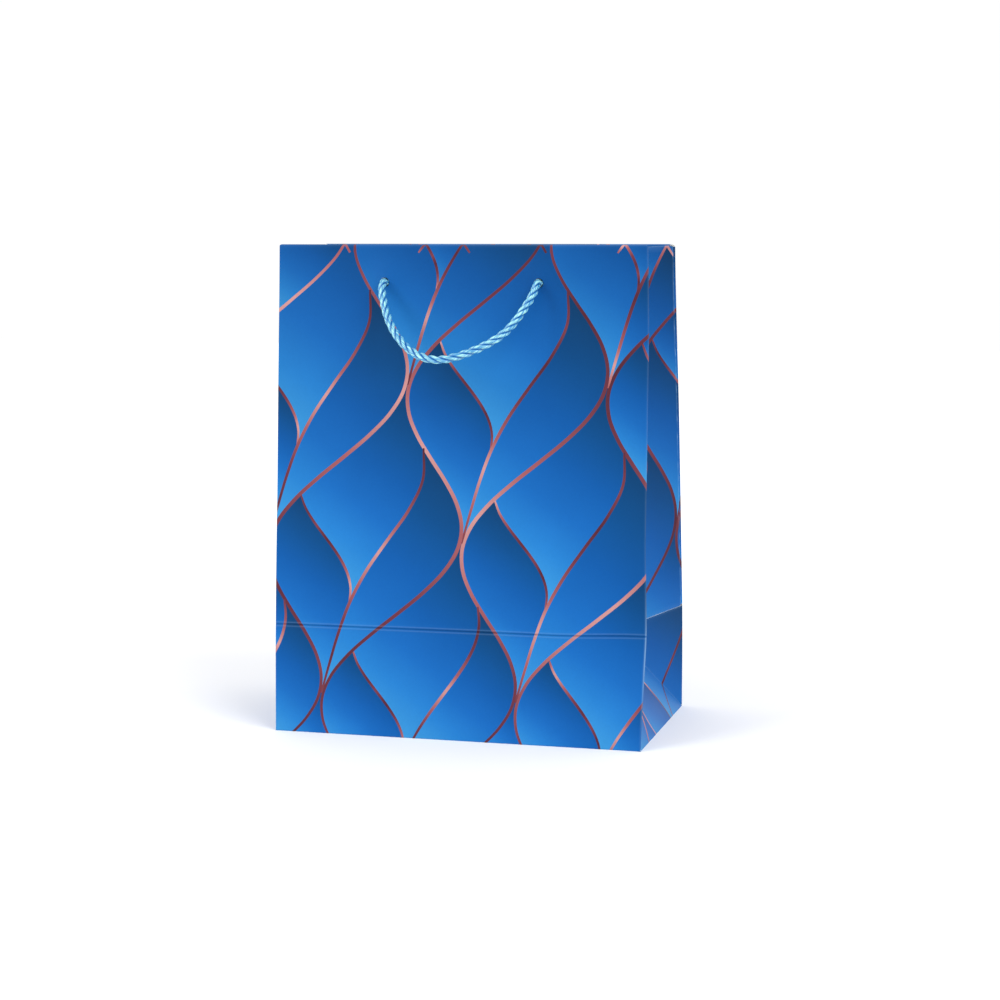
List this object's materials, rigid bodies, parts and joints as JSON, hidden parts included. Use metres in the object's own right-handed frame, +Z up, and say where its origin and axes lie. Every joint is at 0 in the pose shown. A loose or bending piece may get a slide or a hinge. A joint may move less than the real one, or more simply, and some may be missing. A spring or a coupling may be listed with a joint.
{
  "type": "gift bag",
  "caption": "Square-bottomed paper gift bag with side gussets, a turned-in top edge and two twisted cord handles knotted through punched holes.",
  "frame": {"origin": "middle of the base, on the surface that the bag stands on", "axes": "+Z up, the bag's front faces -Y, +X to the right of a viewer who faces the front"},
  "size_m": [0.2, 0.158, 0.2601],
  "materials": {
    "printed_paper": "satin",
    "paper_inside": "matte",
    "greyboard": "matte",
    "cord": "satin"
  },
  "bodies": {
    "root": {"front_lower_panel": "printed_paper", "back_lower_panel": "printed_paper", "left_gusset_front_outer": "printed_paper", "left_gusset_front_inner": "printed_paper", "left_gusset_front_hem": "printed_paper", "left_gusset_back_outer": "printed_paper", "left_gusset_back_inner": "printed_paper", "left_gusset_back_hem": "printed_paper", "left_base_triangle": "printed_paper", "left_base_triangle_front": "printed_paper", "left_base_triangle_back": "printed_paper", "base_left_tuck": "paper_inside", "right_gusset_front_outer": "printed_paper", "right_gusset_front_inner": "printed_paper", "right_gusset_front_hem": "printed_paper", "right_gusset_back_outer": "printed_paper", "right_gusset_back_inner": "printed_paper", "right_gusset_back_hem": "printed_paper", "right_base_triangle": "printed_paper", "right_base_triangle_front": "printed_paper", "right_base_triangle_back": "printed_paper", "base_right_tuck": "paper_inside", "glue_tab": "paper_inside", "base_outer_flap": "printed_paper", "base_inner_flap": "printed_paper", "base_card": "greyboard"},
    "front_wall": {"front_wall": "printed_paper", "front_top_board": "greyboard", "front_hem": "printed_paper", "front_cord_end_left": "cord", "front_cord_end_right": "cord", "front_knot_left": "cord", "front_knot_right": "cord"},
    "back_wall": {"back_wall": "printed_paper", "back_top_board": "greyboard", "back_hem": "printed_paper", "back_cord_end_left": "cord", "back_cord_end_right": "cord", "back_knot_left": "cord", "back_knot_right": "cord"},
    "front_handle": {"front_handle_cord": "cord"},
    "back_handle": {"back_handle_cord": "cord"}
  },
  "joints": [
    {"name": "front_wall_open", "type": "hinge", "parent": "root", "child": "front_wall", "pos_m": [0, -0.056, 0.058], "axis": [1, 0, 0], "range_deg": [0, 3.6], "stiffness_Nm_per_rad": 0.05},
    {"name": "back_wall_open", "type": "hinge", "parent": "root", "child": "back_wall", "pos_m": [0, 0.056, 0.058], "axis": [-1, 0, 0], "range_deg": [0, 8.4], "stiffness_Nm_per_rad": 0.05},
    {"name": "front_handle_swing", "type": "hinge", "parent": "front_wall", "child": "front_handle", "pos_m": [0, -0.05365, 0.24046], "axis": [-1, 0, 0], "range_deg": [0, 143]},
    {"name": "back_handle_swing", "type": "hinge", "parent": "back_wall", "child": "back_handle", "pos_m": [0, 0.038, 0.23958], "axis": [1, 0, 0], "range_deg": [0, 148]}
  ]
}
